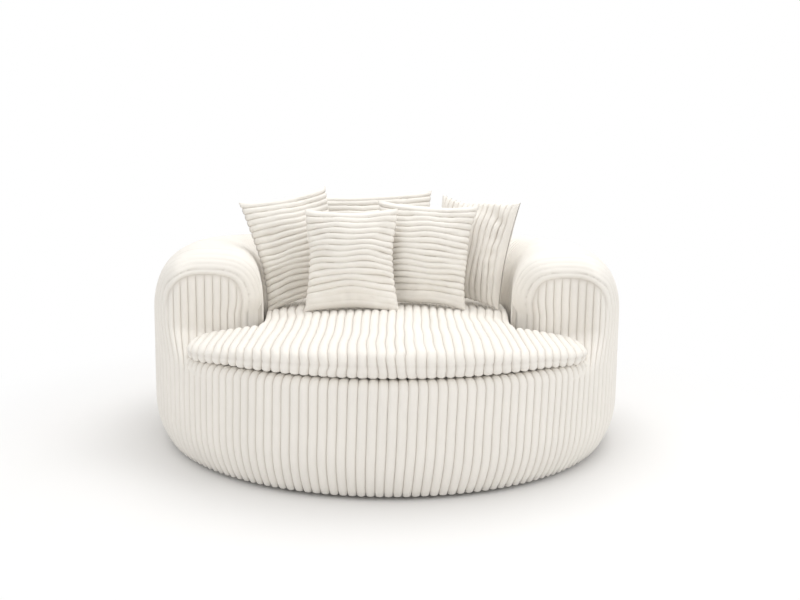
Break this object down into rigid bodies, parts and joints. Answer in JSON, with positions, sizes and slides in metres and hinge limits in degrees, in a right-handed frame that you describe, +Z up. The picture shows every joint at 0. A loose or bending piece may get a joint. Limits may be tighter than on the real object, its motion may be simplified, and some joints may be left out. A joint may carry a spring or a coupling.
{
  "type": "round lounge chair",
  "caption": "Oversized round lounge chair: drum base, padded arms and back in one curve, loose T-shaped seat cushion and loose scatter pillows in wide-ribbed cloth.",
  "frame": {"origin": "on the floor, under the middle of the chair's width and depth", "axes": "+Z up, +X to the right in the picture, the sitter faces -Y"},
  "size_m": [1.56, 1.48, 0.8195],
  "materials": {
    "ribbed_cloth": "soft wide-ribbed pile",
    "foam": "open-cell foam",
    "filling": "loose fibre filling in a liner",
    "plywood": "raw plywood",
    "hardboard": "raw hardboard",
    "webbing": "woven elastic",
    "platform_cloth": "plain quilted cloth",
    "dust_cloth": "thin felted cloth",
    "zip": "moulded teeth on tape",
    "foot_plastic": "matt",
    "screw_steel": "plain"
  },
  "bodies": {
    "chair": {"arm_cover_left": "ribbed_cloth", "arm_cover_right": "ribbed_cloth", "arm_pad_left": "foam", "arm_pad_right": "foam", "arm_panel_left": "plywood", "arm_panel_right": "plywood", "base_cover": "ribbed_cloth", "base_foam": "foam", "bottom_ring": "plywood", "cross_rails": "plywood", "cross_webbing": "webbing", "deck_cloth": "platform_cloth", "deck_pad": "foam", "deck_plate": "plywood", "dust_cover": "dust_cloth", "feet": "foot_plastic", "foot_screws": "screw_steel", "frame_uprights": "plywood", "front_board": "hardboard", "hem_band": "ribbed_cloth", "inner_board": "hardboard", "long_webbing": "webbing", "outer_board": "hardboard", "top_rail": "plywood", "wall_cover_back": "ribbed_cloth", "wall_cover_left": "ribbed_cloth", "wall_cover_left_corner": "ribbed_cloth", "wall_cover_right": "ribbed_cloth", "wall_cover_right_corner": "ribbed_cloth", "wall_foam": "foam", "wall_ribs": "plywood"},
    "seat_cushion": {"seat_cover": "ribbed_cloth", "seat_core": "foam", "seat_zip": "zip"},
    "left_pillow": {"left_pillow_cover": "ribbed_cloth", "left_pillow_insert": "filling", "left_pillow_zip": "zip"},
    "front_pillow": {"front_pillow_cover": "ribbed_cloth", "front_pillow_insert": "filling", "front_pillow_zip": "zip"},
    "middle_pillow": {"middle_pillow_cover": "ribbed_cloth", "middle_pillow_insert": "filling", "middle_pillow_zip": "zip"},
    "right_pillow": {"right_pillow_cover": "ribbed_cloth", "right_pillow_insert": "filling", "right_pillow_zip": "zip"},
    "back_pillow": {"back_pillow_cover": "ribbed_cloth", "back_pillow_insert": "filling", "back_pillow_zip": "zip"}
  },
  "joints": [
    {"name": "seat_cushion_lift", "type": "slide", "parent": "chair", "child": "seat_cushion", "axis": [0, 0, 1], "range_m": [0, 0.32]},
    {"name": "left_pillow_lift", "type": "slide", "parent": "seat_cushion", "child": "left_pillow", "axis": [0, 0.2419, 0.9703], "range_m": [0, 0.36]},
    {"name": "front_pillow_lift", "type": "slide", "parent": "seat_cushion", "child": "front_pillow", "axis": [0, 0.2419, 0.9703], "range_m": [0, 0.36]},
    {"name": "middle_pillow_lift", "type": "slide", "parent": "seat_cushion", "child": "middle_pillow", "axis": [0, 0.2419, 0.9703], "range_m": [0, 0.36]},
    {"name": "right_pillow_lift", "type": "slide", "parent": "seat_cushion", "child": "right_pillow", "axis": [0, 0.2419, 0.9703], "range_m": [0, 0.36]},
    {"name": "back_pillow_lift", "type": "slide", "parent": "seat_cushion", "child": "back_pillow", "axis": [0, 0.2419, 0.9703], "range_m": [0, 0.36]}
  ]
}
